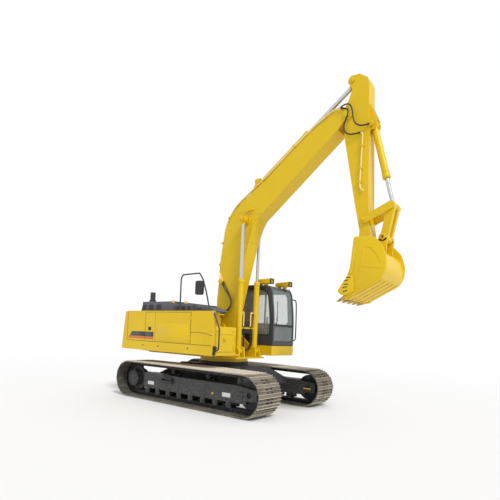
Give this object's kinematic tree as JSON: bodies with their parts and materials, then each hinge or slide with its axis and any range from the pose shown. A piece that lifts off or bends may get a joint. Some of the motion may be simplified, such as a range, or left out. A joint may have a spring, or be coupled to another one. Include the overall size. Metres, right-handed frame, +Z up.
{
  "type": "crawler excavator",
  "caption": "Hydraulic crawler excavator with raised boom, arm and toothed bucket, slewing upperstructure with cab and counterweight on two tracks.",
  "frame": {"origin": "on the ground under the swing axis", "axes": "+X forwards along the tracks, the digging direction, +Y to the operator's left, +Z up"},
  "size_m": [7.3748, 3.2, 7.32],
  "materials": {
    "yellow_paint": "semi-gloss construction yellow, dusty below",
    "frame_paint": "satin charcoal grey on the undercarriage and rails, dusty below",
    "cover_coating": "blue-grey grit coating of the top covers",
    "cab_paint": "satin dark grey cab",
    "cast_steel": "dark cast steel, rubbed bright where it rolls",
    "track_steel": "dry earth over worn steel shoes",
    "chrome_rod": "hard chrome",
    "window_glass": "lightly tinted glass",
    "seat_fabric": "brown woven cloth",
    "black_plastic": "moulded black plastic"
  },
  "bodies": {
    "undercarriage": {"car_body": "frame_paint", "swing_bearing": "cast_steel", "side_frames": "frame_paint", "track_left": "track_steel", "track_right": "track_steel", "final_drives": "frame_paint", "idlers": "cast_steel", "track_rollers": "cast_steel", "carrier_rollers": "cast_steel"},
    "upperstructure": {"main_frame": "yellow_paint", "counterweight": "yellow_paint", "engine_block": "cast_steel", "house_panels": "yellow_paint", "deck_covers": "cover_coating", "fuel_tank": "yellow_paint", "tool_box": "yellow_paint", "hydraulic_tank": "yellow_paint", "cab_shell": "cab_paint", "cab_glass": "window_glass", "operator_seat": "seat_fabric", "cab_console": "black_plastic", "work_lamps": "yellow_paint", "handrails": "frame_paint", "side_mirror": "black_plastic", "exhaust_stack": "frame_paint"},
    "cab_door": {"cab_door": "cab_paint", "cab_door_glass": "window_glass"},
    "engine_hood": {"engine_hood": "cover_coating"},
    "right_rear_door": {"right_rear_door": "yellow_paint"},
    "tool_box_lid": {"tool_box_lid": "yellow_paint"},
    "left_rear_door": {"left_rear_door": "yellow_paint"},
    "left_front_door": {"left_front_door": "yellow_paint"},
    "boom": {"boom": "yellow_paint"},
    "boom_barrels": {"boom_barrels": "yellow_paint"},
    "boom_rods": {"boom_rods": "chrome_rod"},
    "arm": {"arm": "yellow_paint"},
    "arm_barrel": {"arm_barrel": "yellow_paint"},
    "arm_rod": {"arm_rod": "chrome_rod"},
    "bucket_barrel": {"bucket_barrel": "yellow_paint"},
    "bucket_rod": {"bucket_rod": "chrome_rod"},
    "side_links": {"side_links": "yellow_paint"},
    "bucket_link": {"bucket_link": "yellow_paint"},
    "bucket": {"bucket": "yellow_paint", "bucket_teeth": "yellow_paint"}
  },
  "joints": [
    {"name": "swing", "type": "hinge", "parent": "undercarriage", "child": "upperstructure", "pos_m": [0, 0, 1.05], "axis": [0, 0, 1], "continuous": true},
    {"name": "boom_lift", "type": "hinge", "parent": "upperstructure", "child": "boom", "pos_m": [0.04, 0, 1.86], "axis": [0, -1, 0], "range_deg": [-96, 4]},
    {"name": "boom_barrel_pivot", "type": "hinge", "parent": "upperstructure", "child": "boom_barrels", "pos_m": [0.74, 0, 1.33], "axis": [0, -1, 0], "range_deg": [-95.79, 3.99]},
    {"name": "boom_rod_slide", "type": "slide", "parent": "boom_barrels", "child": "boom_rods", "axis": [0, 0, 1], "range_m": [-1.3275, 0.0553]},
    {"name": "arm_swing", "type": "hinge", "parent": "boom", "child": "arm", "pos_m": [3.34, 0, 6.51], "axis": [0, 1, 0], "range_deg": [-90, 12]},
    {"name": "arm_barrel_pivot", "type": "hinge", "parent": "boom", "child": "arm_barrel", "pos_m": [1, 0, 5.53], "axis": [0, 1, 0], "range_deg": [-3.19, 0.43]},
    {"name": "arm_rod_slide", "type": "slide", "parent": "arm_barrel", "child": "arm_rod", "axis": [0.8199, 0, 0.5726], "range_m": [-1.0212, 0.1362]},
    {"name": "bucket_curl", "type": "hinge", "parent": "arm", "child": "bucket", "pos_m": [3.85, 0, 3.8], "axis": [0, 1, 0], "range_deg": [-56, 100]},
    {"name": "side_link_pivot", "type": "hinge", "parent": "arm", "child": "side_links", "pos_m": [3.83, 0, 4.215], "axis": [0, 1, 0], "range_deg": [-40.36, 72.07]},
    {"name": "bucket_link_pivot", "type": "hinge", "parent": "bucket", "child": "bucket_link", "pos_m": [4.255, 0, 3.815], "axis": [0, -1, 0], "range_deg": [-37.16, 66.35]},
    {"name": "bucket_barrel_pivot", "type": "hinge", "parent": "arm", "child": "bucket_barrel", "pos_m": [3.89, 0, 6.19], "axis": [0, 1, 0], "range_deg": [-1.34, 2.4]},
    {"name": "bucket_rod_slide", "type": "slide", "parent": "bucket_barrel", "child": "bucket_rod", "axis": [0.2671, 0, -0.9637], "range_m": [-0.3746, 0.669]},
    {"name": "cab_door_hinge", "type": "hinge", "parent": "upperstructure", "child": "cab_door", "pos_m": [-0.1175, 1.4915, 2.2], "axis": [0, 0, -1], "range_deg": [-165, 0]},
    {"name": "engine_hood_hinge", "type": "hinge", "parent": "upperstructure", "child": "engine_hood", "pos_m": [-2.0915, 0, 2.2615], "axis": [0, -1, 0], "range_deg": [0, 75]},
    {"name": "right_rear_door_hinge", "type": "hinge", "parent": "upperstructure", "child": "right_rear_door", "pos_m": [0.243, -1.4915, 1.86], "axis": [0, 0, 1], "range_deg": [0, 110]},
    {"name": "tool_box_lid_hinge", "type": "hinge", "parent": "upperstructure", "child": "tool_box_lid", "pos_m": [0.9685, -0.737, 1.5], "axis": [0, 0, 1], "range_deg": [0, 110]},
    {"name": "left_rear_door_hinge", "type": "hinge", "parent": "upperstructure", "child": "left_rear_door", "pos_m": [-2.083, 1.4915, 1.86], "axis": [0, 0, 1], "range_deg": [0, 110]},
    {"name": "left_front_door_hinge", "type": "hinge", "parent": "upperstructure", "child": "left_front_door", "pos_m": [-1.003, 1.4915, 1.86], "axis": [0, 0, 1], "range_deg": [0, 110]}
  ],
  "couplings": [
    {"joint": "boom_barrel_pivot", "follows": "boom_lift", "ratio": 0.9978},
    {"joint": "boom_rod_slide", "follows": "boom_lift", "m_per_rad": 0.79229},
    {"joint": "arm_barrel_pivot", "follows": "arm_swing", "ratio": 0.0355},
    {"joint": "arm_rod_slide", "follows": "arm_swing", "m_per_rad": 0.65014},
    {"joint": "side_link_pivot", "follows": "bucket_curl", "ratio": 0.72066},
    {"joint": "bucket_link_pivot", "follows": "bucket_curl", "ratio": 0.66352},
    {"joint": "bucket_barrel_pivot", "follows": "bucket_curl", "ratio": 0.02401},
    {"joint": "bucket_rod_slide", "follows": "bucket_curl", "m_per_rad": 0.38331}
  ]
}
